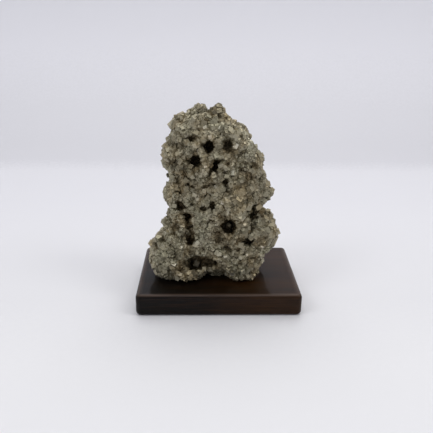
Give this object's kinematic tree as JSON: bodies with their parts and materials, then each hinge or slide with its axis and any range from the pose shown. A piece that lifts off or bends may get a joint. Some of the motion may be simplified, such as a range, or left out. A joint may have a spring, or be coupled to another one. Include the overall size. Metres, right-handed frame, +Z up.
{
  "type": "pyrite specimen",
  "caption": "Pocketed cluster of small brassy pyrite crystals, held upright on a rectangular lacquered wooden display board.",
  "frame": {"origin": "centre of the display board's underside", "axes": "+Z up, out of the board's top; +X along the board's long side, to the viewer's right; -Y towards the viewer, out of the cluster's front"},
  "size_m": [0.1, 0.075, 0.1217],
  "materials": {
    "pyrite": "satin",
    "lacquered_wood": "gloss",
    "putty": "matte"
  },
  "bodies": {
    "root": {"display_board": "lacquered_wood", "pyrite_cluster": "pyrite", "putty_pad_back": "putty", "putty_pad_left": "putty", "putty_pad_right": "putty"}
  },
  "joints": []
}
